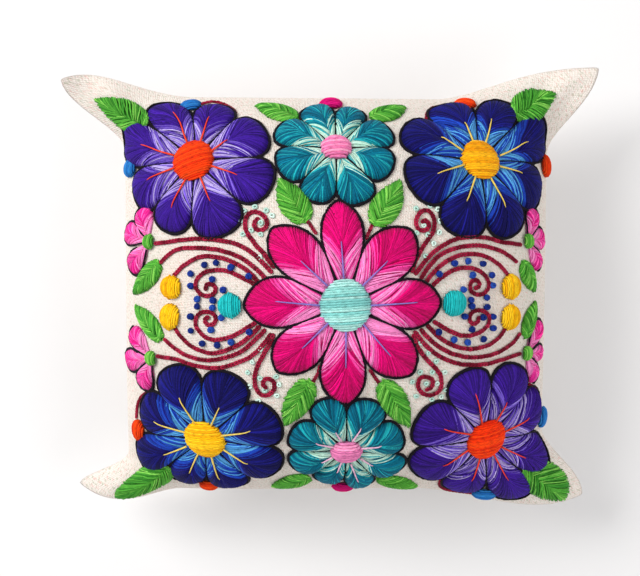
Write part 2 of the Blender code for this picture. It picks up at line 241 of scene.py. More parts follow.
# Only the puckers are kept: the filled form stays the one that the frame has.
drift = settle(places, cut, quads) - places
places = places + (drift - even_out(drift, quads)) * PUCKERS_KEPT
places[:, 2] = np.maximum(places[:, 2], 0)


def unit(vectors):
    return vectors / np.maximum(np.linalg.norm(vectors, axis=-1, keepdims=True), 1e-12)


# The places on the worked face, and the way that it faces at each.
face = places[face_at]
face = np.concatenate((face, unit(np.cross(*np.gradient(face, axis=(0, 1))))), -1)


def on_cloth(x, y, lift):
    """Places on the flat cloth carried to the filled face, raised off it and given in metres."""
    at = ((np.asarray(flat) / CLOTH_HALF + 1) / 2 * CELLS for flat in (x, y))
    i, j = (np.clip(cells, 0, CELLS - 1e-6) for cells in at)
    low_i, low_j = i.astype(int), j.astype(int)
    part_i, part_j = (i - low_i)[..., None], (j - low_j)[..., None]
    near = face[low_i, low_j] * (1 - part_i) + face[low_i + 1, low_j] * part_i
    far = face[low_i, low_j + 1] * (1 - part_i) + face[low_i + 1, low_j + 1] * part_i
    between = near * (1 - part_j) + far * part_j
    place, normal = between[..., :3], unit(between[..., 3:])
    return (place + normal * np.asarray(lift)[..., None]) * MM, normal


class Field:
    """A socket of a material's nodes. Sums on it add Math nodes, so patterns read as sums."""

    def __init__(self, tree, socket=None):
        self.tree, self.socket = tree, socket

    def add(self, kind, inputs=(), out=0, **settings):
        node = self.tree.nodes.new(kind)
        for name, value in settings.items():
            setattr(node, name, value)
        for key, value in dict(inputs).items():
            if isinstance(value, Field):
                self.tree.links.new(value.socket, node.inputs[key])
            else:
                node.inputs[key].default_value = value
        return Field(self.tree, node.outputs[out])

    def math(self, operation, *terms):
        return self.add("ShaderNodeMath", enumerate(terms), operation=operation)

    def noise(self, scale, detail, out=0):
        """Noise at the place that this field gives."""
        return self.add("ShaderNodeTexNoise", {0: self, "Scale": scale, "Detail": detail}, out=out)

    def split(self):
        """The first two parts of this field."""
        return [self.add("ShaderNodeSeparateXYZ", {0: self}, out=part) for part in (0, 1)]

    def mix(self, share, first, second, blend="MIX"):
        """A colour between two others, or one blended with another."""
        sockets = {0: share, 6: first, 7: second}
        return self.add("ShaderNodeMix", sockets, out=2, data_type="RGBA", blend_type=blend)

    def __add__(self, other):
        return self.math("ADD", self, other)

    def __sub__(self, other):
        return self.math("SUBTRACT", self, other)

    def __rsub__(self, other):
        return self.math("SUBTRACT", other, self)

    def __mul__(self, other):
        return self.math("MULTIPLY", self, other)

    def __mod__(self, other):
        return self.math("FLOORED_MODULO", self, other)

    __radd__, __rmul__ = __add__, __mul__


def new_material(name, colour, roughness, sheen, specular):
    """A Principled material with its even values set, and its nodes to add patterns to."""
    made = bpy.data.materials.new(name)
    made.use_nodes = True
    shader = made.node_tree.nodes["Principled BSDF"]
    even = {"Base Color": (*colour, 1), "Roughness": roughness, "Specular IOR Level": specular}
    for key, value in {**even, "Sheen Weight": sheen, "Sheen Roughness": 0.5}.items():
        shader.inputs[key].default_value = value
    return made, Field(made.node_tree), shader


def feed(made, shader, tint, height, strength, distance):
    """Leads a pattern to the colour, and its height to the bumps."""
    bump = {"Height": height, "Strength": strength, "Distance": distance}
    for name, field in (("Base Color", tint), ("Normal", tint.add("ShaderNodeBump", bump))):
        made.node_tree.links.new(field.socket, shader.inputs[name])
    return made


def woven_cream():
    """Uneven hand-spun threads, one over and one under, with a little colour of their own."""
    made, nodes, shader = new_material("cream cloth", CREAM, 0.92, 0.15, 0.2)
    flat = nodes.add("ShaderNodeUVMap", uv_map="threads")
    slub = {0: flat.noise(90, 2, out=1), 3: 0.0011}
    bend = nodes.add("ShaderNodeVectorMath", slub, operation="SCALE")
    x, y = nodes.add("ShaderNodeVectorMath", {0: flat, 1: bend}, operation="ADD").split()
    warp, weft = (at * (1 / (THREAD_PITCH * MM)) for at in (x, y))
    over = (nodes.math("FLOOR", warp) + nodes.math("FLOOR", weft)) % 2
    warp_round, weft_round = (nodes.math("SINE", (at % 1) * math.pi) for at in (warp, weft))
    # A thread stands high where it crosses over, and dips under the next one.
    warp_top = warp_round * (0.45 + 0.55 * weft_round)
    weft_top = weft_round * (0.45 + 0.55 * warp_round)
    height = over * warp_top + (1 - over) * weft_top
    height = height * (0.6 + 0.8 * flat.noise(260, 3)) + 0.35 * flat.noise(1700, 2)
    tint = nodes.mix(flat.noise(14, 3) * 1.6 - 0.4, (*CREAM, 1), (*WARM_CREAM, 1))
    for seed, ticks in enumerate((PINK_TICKS, GREEN_TICKS)):
        slanted = {0: (x + 0.6 * y) * 800, 1: y * 330, 2: seed * 7.0}
        here = nodes.add("ShaderNodeCombineXYZ", slanted).noise(1, 1)
        tint = nodes.mix(here * 5.5 - 2.95, tint, (*ticks, 1))
    # Painted shade: the cloth turns towards SHADED_CREAM where the threads dip between their
    # crossings.
    dips = nodes.math("MAXIMUM", (1 - height) * 0.7 - 0.2, 0)
    tint = nodes.mix(dips, tint, (*SHADED_CREAM, 1))
    tint = nodes.mix(flat.noise(420, 1) * 2.2 - 1.25, tint, (*PALE_CREAM, 1))
    return feed(made, shader, tint, height, 0.8, 0.0006)


def flat_map(mesh, name, places):
    """Gives a mesh a map whose values are the given places of its corners."""
    layer = mesh.uv_layers.new(name=name)
    layer.data.foreach_set("uv", places.astype(np.float32).ravel())


# The two panels side by side in the map for baking, with a little room between them.
BAKE_SHARE = 0.498
mesh = bpy.data.meshes.new("cover")
mesh.from_pydata((places * MM).tolist(), [], quads.tolist())
mesh.shade_smooth()
on_face = np.arange(len(quads)) < CELLS * CELLS
corner_cut = cut[quads][:, :, :2] * MM
corner_cut[~on_face] += (0.5, 0)
flat_map(mesh, "threads", corner_cut)
bake_places = (cut[quads][:, :, :2] / CLOTH_HALF + 1) / 2
bake_places[..., 0] = bake_places[..., 0] * BAKE_SHARE + np.where(on_face, 0, 0.5)[:, None]
flat_map(mesh, "OFBake", bake_places)
mesh.materials.append(woven_cream())
cover = show("cover", mesh)
finer = cover.modifiers.new("finer", "SUBSURF")
finer.levels = finer.render_levels = 1
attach(cover, "root")
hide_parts("pillow_cover")


# The flowers: eight petals each, padded and then worked in long and short stitches of wool.
# The yarns fan from a line along the petal's middle to its rim, pale beside the flower's
# heart and dark at the rim. By hand no two petals come out alike, so each has its own turn.
YARN_PITCH = 1.1
YARN_RADIUS = 0.67
YARN_STEPS = 8
PLY_PITCH = 0.0021
CORD_RADIUS = 1.25
PAD_BED = 0.1
PETAL_GAP, PETAL_EDGE = 0.7, 0.55
CREASE_DEPTH, CREASE_WIDTH = 0.5, 1.8
rng = np.random.default_rng(20)


def dyed(*screen):
    """A dye, or several, given as red, green and blue on a screen from 0 to 255, as light."""
    screen = np.array(screen) / 255
    return np.where(screen <= 0.04045, screen / 12.92, ((screen + 0.055) / 1.055) ** 2.4)


def run_along(x, y):
    """The length of a path up to each of its places."""
    return np.insert(np.hypot(np.diff(x), np.diff(y)).cumsum(), 0, 0)


def line_from(spot, out):
    """Gives the place at a distance out along a line from a spot, and at one to its left."""

    def to_cloth(along, aside):
        x = spot[0] + along * out[0] - aside * out[1]
        return x, spot[1] + along * out[1] + aside * out[0]

    return to_cloth


class Work:
    """Wool worked on the cloth. Each yarn is a closed tube, and a piece is many of them."""

    def __init__(self):
        self.bundles = []

    def loft(self, rings, dyes, width):
        """Closed skins through rings of places in metres: (yarn, step, side, xyz)."""
        self.bundles.append((rings, np.broadcast_to(dyes, (*rings.shape[:2], 3)), width))

    def lay(self, x, y, lift, radius, dyes, sides=5):
        """Yarns along paths on the flat cloth: x, y and lift are (yarn, step) in millimetres."""
        middle, up = on_cloth(x, y, lift)
        ahead = unit(np.gradient(middle, axis=1))
        side = unit(np.cross(ahead, up))
        up = np.cross(side, ahead)
        turns = math.tau * (np.arange(sides) + 0.5) / sides
        wide = (np.broadcast_to(radius, middle.shape[:2]) * MM)[..., None, None]
        ring = side[:, :, None] * np.cos(turns)[:, None] + up[:, :, None] * np.sin(turns)[:, None]
        self.loft(middle[:, :, None] + ring * wide, dyes, math.tau * np.max(radius))

    def pad(self, to_cloth, along, right, left, height, sink, dyes):
        """The padding a little under the yarns, from one end of a shape to the other."""
        across = (1 - np.cos(np.linspace(0, math.pi, 10))) / 2
        across = np.append(across, (0.75, 0.25))
        aside = -right[:, None] + (right + left)[:, None] * across
        along = np.broadcast_to(along[:, None], aside.shape)
        lift = height(along, aside) - sink
        lift[:, -2:] = PAD_BED
        rings = on_cloth(*to_cloth(along, aside), lift)[0]
        self.loft(rings[None], dyes, 2.2 * np.max(right + left))

    def finish(self, name, colour, *nodes):
        """Makes the piece. Its maps hold the length along each yarn, and a strip for each."""
        points, dyes_all, loops, counts, maps, strips = [], [], [], [], [], []
        start = serial = 0
        for rings, dyes, width in self.bundles:
            yarns, long, sides = rings.shape[:3]
            at = start + np.arange(rings.size // 3).reshape(yarns, long, sides)
            start += at.size
            after = np.roll(at, -1, axis=2)
            walls = np.stack((at[:, :-1], at[:, 1:], after[:, 1:], after[:, :-1]), -1)
            gaps = np.linalg.norm(np.diff(rings.mean(2), axis=1), axis=-1) / MM
            run = np.concatenate((np.zeros((yarns, 1)), gaps.cumsum(1)), 1)
            turn = np.arange(sides) / sides
            near, far, low = np.broadcast_arrays(run[:, :-1, None], run[:, 1:, None], turn)
            high = low + 1 / sides
            wall_map = np.stack((near, low, far, low, far, high, near, high), -1)
            caps = np.stack((at[:, 0], at[:, -1, ::-1]), 1)
            ends = np.stack((np.zeros((yarns, sides)), np.repeat(run[:, -1:], sides, 1)), 1)
            cap_turn = np.broadcast_to(np.stack((turn, turn[::-1])), ends.shape)
            cap_map = np.stack((ends, cap_turn), -1)
            owner = serial + np.arange(yarns)
            serial += yarns
            strips.append(np.stack((np.maximum(run[:, -1], 1.0), np.full(yarns, width)), -1))
            points.append(rings.reshape(-1, 3))
            dyes_all.append(np.repeat(dyes.reshape(-1, 3), sides, axis=0))
            for corners, places_on, size in ((walls, wall_map, 4), (caps, cap_map, sides)):
                loops.append(corners.reshape(yarns, -1).ravel())
                counts.append(np.full(corners.size // size, size))
                own = np.repeat(owner, corners.size // yarns)
                maps.append(np.concatenate((places_on.reshape(-1, 2), own[:, None]), -1))
        points, dyes_all = np.concatenate(points), np.concatenate(dyes_all)
        loops, counts, maps = map(np.concatenate, (loops, counts, maps))
        mesh = bpy.data.meshes.new(name)
        mesh.vertices.add(len(points))
        mesh.vertices.foreach_set("co", points.astype(np.float32).ravel())
        mesh.loops.add(len(loops))
        mesh.loops.foreach_set("vertex_index", loops.astype(np.int32))
        mesh.polygons.add(len(counts))
        mesh.polygons.foreach_set("loop_start", (counts.cumsum() - counts).astype(np.int32))
        mesh.update(calc_edges=True)
        owner = maps[:, 2].astype(int)
        flat_map(mesh, "yarn", np.stack((maps[:, 0] * MM, maps[:, 1] + owner), -1))
        flat_map(mesh, "OFBake", strip_map(np.concatenate(strips), owner, maps[:, :2]))
        wool_dye = mesh.color_attributes.new(name="dye", type="FLOAT_COLOR", domain="POINT")
        opaque = np.insert(dyes_all, 3, 1, axis=1).astype(np.float32)
        wool_dye.data.foreach_set("color", opaque.ravel())
        mesh.shade_smooth()
        mesh.materials.append(wool(colour))
        made = show(name, mesh)
        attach(made, "root")
        colour != "black_wool"
        if nodes:
            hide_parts(*nodes)


def strip_map(strips, owner, places_on):
    """Lays the skin of every yarn out as an upright strip, column by column, in one square."""
    column = max(math.sqrt((strips[:, 0] * strips[:, 1]).sum()), strips[:, 0].max())
    left = low = column_wide = 0.0
    corners = np.empty((len(strips), 2))
    for index, (length, width) in enumerate(strips):
        if low + length > column:
            left, low, column_wide = left + column_wide, 0.0, 0.0
        corners[index] = left, low
        low += length
        column_wide = max(column_wide, width)
    u = (corners[owner, 0] + places_on[:, 1] * strips[owner, 1]) / (left + column_wide)
    return np.stack((u, (corners[owner, 1] + places_on[:, 0]) / column), -1)


def wool(name):
    """Two-ply wool: the dye of each yarn, broken up by its twist and by loose fibres, and streaked
    lighter as painted glints where fibres would catch the light.
    """
    label = name.replace("_", " ")
    if label in bpy.data.materials:
        return bpy.data.materials[label]
    made, nodes, shader = new_material(label, (0.5, 0.5, 0.5), 0.72, 0.03, 0.1)
    along, around = nodes.add("ShaderNodeUVMap", uv_map="yarn").split()
    ply = nodes.math("SINE", (along * (1 / PLY_PITCH) + around) * math.tau)
    fibres = nodes.add("ShaderNodeCombineXYZ", {0: along * 260, 1: around * 16}).noise(1, 3)
    # Partly random fibre tone, partly painted glints: streaks along each yarn made lighter and
    # darker as if groups of fibres caught the light.
    fibre_tone_and_glints = fibres * 2.6 - 0.3
    level = nodes.add("ShaderNodeCombineColor", {0: fibre_tone_and_glints, 1: fibre_tone_and_glints, 2: fibre_tone_and_glints})
    dye = nodes.add("ShaderNodeVertexColor", layer_name="dye")
    tint = nodes.mix(1.0, dye, level, "MULTIPLY")
    return feed(made, shader, tint, 0.5 * ply + fibres, 0.5, 0.0002)


def shades(bands, at):
    """The dye of each yarn: one of its band's colours, and some a little lighter or darker at
    random, which partly paints the highlights of single yarns.
    """
    edges = np.array([band[0] for band in bands])
    where = np.searchsorted(edges, at + rng.normal(0, 0.02, len(at))).clip(0, len(bands) - 1)
    dyes = np.array([bands[band][1 + rng.integers(len(bands[band]) - 1)] for band in where])
    # The spread, wider in the dark bands, is partly painted highlight on single yarns.
    return dyes * np.exp(rng.normal(0, 1, (len(at), 1)) * np.where(where == 0, 0.13, 0.21)[:, None])


class Petal:
    """A petal from its flower's middle: straight sides along the valleys, then a round rim.

    Its own places are a distance out along its middle line and a distance to the left of it.
    """

    def __init__(self, spot, tip, valleys, start, look, crown):
        self.start, self.look, self.crown = start, look, crown
        turn, self.reach = math.radians(tip[0]), tip[1]
        self.to_cloth = line_from(spot, (math.cos(turn), math.sin(turn)))
        right, left = (math.radians(valley) - turn for valley in valleys)
        self.slopes = math.tan(-right), math.tan(left)

    def half_width(self, along, side):
        """Half width on the left for side 1 and on the right for side -1."""
        round_from, power, blunt = self.look
        share = np.clip((along / self.reach - round_from) / (1 - round_from), 0, 1)
        straight = along * self.slopes[side > 0] - PETAL_GAP
        return np.maximum(straight * (1 - share**power) ** blunt, 0)

    def height(self, along, aside):
        width = np.where(aside > 0, self.half_width(along, 1), self.half_width(along, -1))
        share = np.minimum(np.abs(aside) / np.maximum(width, 0.01), 1)
        end = np.clip((along / self.reach - 0.55) / 0.45, 0, 1)
        puff = ((1 - share**2.4) * (1 - end**3)) ** 0.6
        climb = ease((along - self.start) / (0.62 * self.reach - self.start))
        crease = np.exp(-((aside / CREASE_WIDTH) ** 2)) * ease((along / self.reach - 0.3) * 5)
        top = self.crown * (0.45 + 0.55 * climb) - CREASE_DEPTH * crease
        return PETAL_EDGE + (top - PETAL_EDGE) * np.maximum(puff, 0)

    def rim(self, side, low):
        """The edge of one side from a distance out to the tip, and the length along it."""
        along = self.reach * (1 - (1 - np.linspace(0, 1, 400)) ** 2 * (1 - low))
        aside = self.half_width(along, side)
        return along, aside, run_along(along, aside)

    def stitch(self, work, bands, pale_to):
        """Yarns over both halves. pale_to is how far out the pale ones reach on the middle line."""
        light, pale_end = bands[0][0], pale_to * self.reach
        share = 1 - (1 - np.linspace(0, 1, 15)) ** 1.6
        stations = self.start + (0.985 * self.reach - self.start) * share
        # Painted shade: the padding is dyed darker than the yarns over it, so the gaps between the
        # yarns look shaded.
        shaded_pad_dye = np.where(stations[:, None] < pale_end, bands[0][1], bands[-1][1]) * 0.75
        widths = [self.half_width(stations, side) for side in (-1, 1)]
        work.pad(self.to_cloth, stations, *widths, self.height, 0.4, shaded_pad_dye)
        t = np.linspace(0, 1, YARN_STEPS) ** 1.05
        for side in (1, -1):
            along, aside, length = self.rim(side, 0.45)
            count = int(length[-1] / YARN_PITCH)
            at = (np.arange(count) + 0.5) / count
            ends = [np.interp(at * length[-1], length, edge) for edge in (along, aside)]
            begin = np.clip(at + rng.normal(0, 0.03, count), 0, 1)
            starts = self.start, self.start, 0.9 * pale_end, 0.64 * self.reach
            first = np.interp(begin, (0, 0.12, light, 1), starts)
            first = first + rng.normal(0, 0.9, count) * (begin > 0.1)
            beside = 0.8 * self.half_width(np.array(self.start), side)
            offset = np.interp(begin, (0, 0.8 * light), (beside, 0))
            swing = 0.49 - 0.11 * ease((at - 0.2) / 0.4)
            bend = first + 0.56 * (ends[0] - first), offset + swing * (ends[1] - offset)

            def curve(a, b, c):
                return a[:, None] * (1 - t) ** 2 + 2 * b[:, None] * t * (1 - t) + c[:, None] * t**2

            out = curve(first, bend[0], ends[0] + 0.25)
            sway = 0.25 * np.sin(math.tau * t + rng.uniform(0, math.tau, (count, 1)))
            off = side * curve(offset, bend[1], ends[1] + 0.3)
            off = off + rng.normal(0, 0.2, (count, 1)) + sway * t
            lift = self.height(out, off) + 0.2 - 0.7 * (1 - ease(t / 0.25))
            lift = lift + rng.normal(0, 0.06, (count, 1))
            radius = YARN_RADIUS * (1 - 0.28 * (1 - ease(t / 0.35)) - 0.2 * ease((t - 0.85) / 0.15))
            x, y = self.to_cloth(out, off)
            work.lay(x, y, np.maximum(lift, 0.3), radius, shades(bands, at)[:, None])

    def outline(self, work, low, high=1.0):
        """A black cord couched beside the petal, from one valley round the tip to the other."""
        left, right = self.rim(1, low), self.rim(-1, low)
        along = np.concatenate((left[0], right[0][-2::-1]))
        aside = np.concatenate((left[1], -right[1][-2::-1])) + 1e-9
        ahead, off = np.gradient(along), np.gradient(aside)
        size = np.hypot(ahead, off)
        thick = CORD_RADIUS * (0.6 + 0.4 * ease((along / self.reach - 0.4) / 0.3))
        along, aside = along - thick * off / size, aside + thick * ahead / size
        length = run_along(along, aside)
        want = np.linspace(0, high, int(length[-1] * high / 2.6)) * length[-1]
        along, aside, thick = (np.interp(want, length, values) for values in (along, aside, thick))
        x, y = self.to_cloth(along, aside + rng.normal(0, 0.16, len(along)))
        lift = 0.95 + 3 * (1 - thick / CORD_RADIUS) + rng.normal(0, 0.12, len(along))
        radius = thick * (1 + rng.normal(0, 0.1, len(along)))
        work.lay(x[None], y[None], lift[None], radius[None], BLACK, sides=6)


BLACK = dyed(20, 15, 24)
LAVENDER, LILAC, PURPLE, DEEP_PURPLE = dyed(
    (180, 164, 224), (110, 84, 190), (56, 22, 138), (42, 14, 106)
)
SKY, ROYAL, NAVY, DEEP_NAVY = dyed((84, 160, 218), (26, 64, 172), (20, 20, 116), (14, 11, 80))
MINT, TURQUOISE, TEAL, DEEP_TEAL = dyed(
    (190, 228, 212), (26, 158, 168), (0, 106, 132), (0, 82, 108)
)
PALE_PINK, PINK, MAGENTA, DEEP_MAGENTA = dyed(
    (244, 142, 202), (232, 66, 156), (210, 0, 108), (188, 0, 90)
)
# How a petal ends: where it leaves its valley, as a share of its reach, and how it rounds off.
POINTED, ROUNDED = (0.42, 1.8, 0.74), (0.60, 2.1, 0.5)
# The kinds of flower: slot, look, how far the pale yarns reach, and the bands of yarn from a
# valley round to the tip. Each band has the share that it ends at and its dyes.
MAGENTAS = "magenta_wool", POINTED, 0.44, (
    (0.33, PALE_PINK, PALE_PINK, PINK),
    (0.45, PINK, PINK, MAGENTA),
    (2, MAGENTA, MAGENTA, MAGENTA, DEEP_MAGENTA),
)
PURPLES = "purple_wool", ROUNDED, 0.50, (
    (0.34, LAVENDER, LAVENDER, LILAC, LILAC, PURPLE),
    (0.46, LILAC, PURPLE, PURPLE),
    (2, PURPLE, PURPLE, DEEP_PURPLE),
)
NAVIES = "navy_wool", ROUNDED, 0.46, (
    (0.29, SKY, SKY, ROYAL, ROYAL),
    (0.43, ROYAL, ROYAL, NAVY),
    (2, NAVY, DEEP_NAVY, DEEP_NAVY),
)
TEALS = "teal_wool", ROUNDED, 0.38, (
    (0.24, MINT, MINT, MINT, TURQUOISE),
    (0.38, TURQUOISE, TURQUOISE, MINT, TEAL),
    (2, TEAL, TEAL, DEEP_TEAL, TEAL, TURQUOISE),
)
FLOWERS = (
    # name, middle, disc, kind,
    # the turn and reach of each petal, and the turns of the valleys between them
    ("center", (0, 1), 21, MAGENTAS,
     (93, 91, 50, 84, 1, 79, -48, 83, -89, 90, -133, 80, -179, 82, 132, 88),
     (74, 26, -25, -72, -111, -157, 153, 110)),
    ("top_left", (-132, 135), 19, PURPLES,
     (116, 78.5, 80, 71, 28, 70, -24, 76, -67, 79, -110, 73, -162, 76, 161.5, 91),
     (99, 56, 1, -45, -90, -134, 179, 139)),
    ("top_right", (124, 136), 19, NAVIES,
     (101, 75, 65, 73.5, 15.5, 92, -15, 82, -65, 79, -113, 78, -159, 73.5, 154, 76),
     (83, 41.5, 3.5, -42, -88, -132, 176, 130)),
    ("bottom_left", (-122, -134), 19, NAVIES,
     (115, 78, 68, 75, 24, 72, -29, 74, -79, 74, -117, 75, -152, 91, 164, 76),
     (91, 47, -4, -55, -98, -138, -173, 139)),
    ("bottom_right", (135, -137), 19, PURPLES,
     (114, 80, 69, 79, 15, 78, -30, 87, -58, 88, -97, 77, -150, 76, 154, 76),
     (91, 43, -7, -45, -78, -121, -177, 133)),
    ("top", (-6, 145), 13, TEALS,
     (108, 60, 72, 56, 29, 54, -22, 50.5, -73, 57.5, -109, 56, -155, 53, 153, 57.5),
     (90, 51, 3, -49, -91, -131, 176, 131)),
    ("bottom", (4, -141), 13.5, TEALS,
     (109, 59, 71, 57, 20, 50.5, -34, 60.5, -74, 64, -107, 54, -153, 53, 152, 51.5),
     (92, 48, -9, -55, -89, -130, -178, 130)),
)
PETAL_CROWN = 7.8
petals = {}
for name, spot, disc, (slot, look, pale_to, bands), tips, valleys in FLOWERS:
    work = Work()
    petals[name] = []
    for number, tip in enumerate(np.reshape(tips, (-1, 2))):
        between = valleys[number], valleys[number - 1]
        petal = Petal(spot, tip, between, 0.8 * disc, look, PETAL_CROWN * (1 + rng.normal(0, 0.04)))
        petal.stitch(work, bands, pale_to)
        petals[name].append(petal)
    work.finish("flower_" + name + "_petals", slot, "flower_" + name)


# The black outlines: one thick wool cord couched round each petal, so the flower stands off
# the cloth and a dark line runs down every valley.
for name, outlined in petals.items():
    work = Work()
    for petal in outlined:
        petal.outline(work, petal.start / petal.reach)
    work.finish("flower_" + name + "_outlines", "black_wool")


# The veins: one straight stitch of thin bright wool from the heart out over each petal, on
# every flower but the top one. It lies on the petal's yarns and dives in at its end.
VEINS = (
    # flower, slot, dye, and how many hundredths of each petal they reach out over
    ("center", "purple_wool", dyed(132, 116, 196), (59, 59, 74, 69, 59, 62, 68, 58)),
    ("top_left", "orange_wool", dyed(232, 64, 34), (80, 65, 50, 62, 61, 70, 65, 69)),
    ("top_right", "yellow_wool", dyed(232, 202, 92), (53, 62, 66, 55, 65, 63, 67, 55)),
    ("bottom_left", "yellow_wool", dyed(234, 206, 100), (63, 58, 67, 60, 65, 63, 56, 69)),
    ("bottom_right", "orange_wool", dyed(232, 60, 30), (75, 54, 63, 64, 64, 63, 62, 71)),
    ("bottom", "pink_wool", dyed(236, 184, 212), (46, 57, 61, 48, 64, 50, 46, 58)),
)
for name, slot, dye, reaches in VEINS:
    work = Work()
    for petal, far in zip(petals[name], reaches):
        along = np.linspace(0.25, far / 100, 8) * petal.reach
        aside = (along - along[0]) * rng.normal(0, 0.05) + rng.normal(0, 0.25)
        lift = petal.height(along, aside) + 1.15
        lift[-1] -= 0.9
        x, y = petal.to_cloth(along, aside)
        radius = 0.78 * (1 - 0.5 * np.linspace(0, 1, 8))
        work.lay(x[None], y[None], lift[None], radius[None], dye, sides=6)
    work.finish("flower_" + name + "_veins", slot)


# The hearts: domes of thick yarn in satin stitch over padding, laid across from edge to edge.
# Each hides the inner ends of its flower's yarns.
HEART_BED, HEART_RISE = 2.4, 5.6
HEARTS = (
    # name, middle, half across, half up, slant in degrees, slot, yarn to yarn, dyes
    ("center", (0, 1), 20.5, 23, 4, "aqua_wool", 2.1,
     dyed((150, 214, 208), (128, 202, 198), (168, 220, 214))),
    ("top_left", (-134, 135), 20.3, 21.5, 17, "orange_wool", 2.0,
     dyed((232, 60, 4), (212, 44, 2), (236, 70, 10))),
    ("top_right", (125, 136), 19.5, 20.5, 2, "yellow_wool", 2.1,
     dyed((244, 172, 8), (230, 152, 4), (248, 184, 22))),
    ("bottom_left", (-123.5, -134), 20, 21, 5, "yellow_wool", 2.1,
     dyed((248, 188, 12), (238, 168, 6), (250, 198, 28))),
    ("bottom_right", (136, -137), 20.5, 22.5, 7, "orange_wool", 2.0,
     dyed((244, 56, 2), (226, 42, 0), (248, 70, 8))),
    ("top", (-6, 145), 13, 12.5, 4, "pink_wool", 2.5,
     dyed((240, 138, 184), (230, 120, 172), (244, 156, 194))),
    ("bottom", (4, -141), 13.6, 12.5, 2, "pink_wool", 2.5,
     dyed((234, 134, 186), (242, 152, 196), (224, 122, 176))),
)


def picked(dyes, count, uneven):
    """One of the dyes for each yarn, a little lighter or darker."""
    picks = np.array(dyes)[rng.integers(len(dyes), size=count)]
    return (picks * np.exp(rng.normal(0, uneven, (count, 1))))[:, None]


def satin(work, spot, half_along, half_across, turn, low, rise_by, dyes, pitch):
    """A dome of parallel yarns. The yarns run along the turn, and bow a little outwards."""
    radius, inset = 0.49 * pitch, 0.97
    turn = math.radians(turn)
    to_cloth = line_from(spot, (math.cos(turn), math.sin(turn)))

    def height(along, aside):
        out = np.minimum((along / half_along) ** 2 + (aside / half_across) ** 2, 1)
        return low + rise_by * np.sqrt(1 - out**1.2)

    stations = half_along * -np.cos(np.linspace(0.16, math.pi - 0.16, 13)) * 0.98
    widths = half_across * np.sqrt(1 - (stations / half_along) ** 2) * inset
    # Painted shade: the padding is dyed at half the first dye, so the gaps between the yarns look
    # shaded.
    work.pad(to_cloth, stations, widths, widths, height, 0.6 * radius, dyes[0] * 0.5)
    count = int(2 * half_across / pitch)
    offsets = (np.arange(count) + 0.5) / count * 2 - 1
    chord = half_along * np.sqrt(1 - (offsets * inset) ** 2) * (1 + rng.normal(0, 0.04, count))
    t = np.sin(np.linspace(-1, 1, 9) * math.pi / 2)
    along = chord[:, None] * t + rng.normal(0, 0.3, (count, 1))
    aside = half_across * inset * offsets[:, None] * (1 - 0.05 * t**2)
    aside = aside + rng.normal(0, 0.08, (count, 1))
    lift = height(along, aside) + 0.3 * radius
    lift[:, (0, -1)] = low * 0.6 + 0.3
    x, y = to_cloth(along, aside)
    work.lay(x, y, lift, radius * (1 - 0.25 * t**8), picked(dyes, count, 0.06), sides=6)


for name, spot, across, up_half, slant, slot, pitch, dyes in HEARTS:
    work = Work()
    satin(work, spot, across, up_half, slant, HEART_BED, HEART_RISE, dyes, pitch)
    work.finish("heart_" + name, slot, "disc_" + name)


# The leaves: padded, broad at the base and pointed, in fishbone stitch. Light and dark greens
# lie side by side, and the edge is as ragged as the stitches that end there.
LIGHT_GREEN, GREEN, DARK_GREEN = dyed((130, 202, 86), (84, 168, 56), (56, 138, 42))
GREENS = (LIGHT_GREEN, GREEN, GREEN, GREEN, DARK_GREEN)
LEAF_PITCH = 1.1
LEAF_RADIUS = 0.64
LEAF_CROWN, LEAF_EDGE = 4.2, 0.5
LEAVES = (
    # name, x and y of base and tip, half width to the right and left, looking out to the tip
    ("corner_top_left", -187.5, 177, -213, 203.5, 19, 20),
    ("corner_top_right", 168, 185.5, 200.5, 205, 19, 17),
    ("corner_bottom_left", -171, -177, -202, -221, 20, 20),
    ("corner_bottom_right", 184, -178, 212, -221, 14, 20.5),
    ("high_left", -41, 185, -83, 206, 11, 11),
    ("high_right", 27, 187, 65, 204, 12, 9),
    ("low_left", -28, -184, -67, -206, 10, 12),
    ("low_right", 38, -190, 83, -213, 10, 11),
    ("upper_left", -32, 73, -55, 115, 12.5, 12.5),
    ("upper_right", 24, 70, 48, 114, 12.5, 12),
    ("lower_left", -29, -66, -50, -114, 10.5, 12.5),
    ("lower_right", 32, -67, 58, -117, 12.5, 10.5),
    ("side_left_up", -167, 37, -205, 4, 10, 11),
    ("side_left_down", -166, -38, -202, -7, 11, 10),
    ("side_right_up", 171, 38, 191, 7, 10, 9.5),
    ("side_right_down", 177, -38, 193, -2, 8, 11),
)


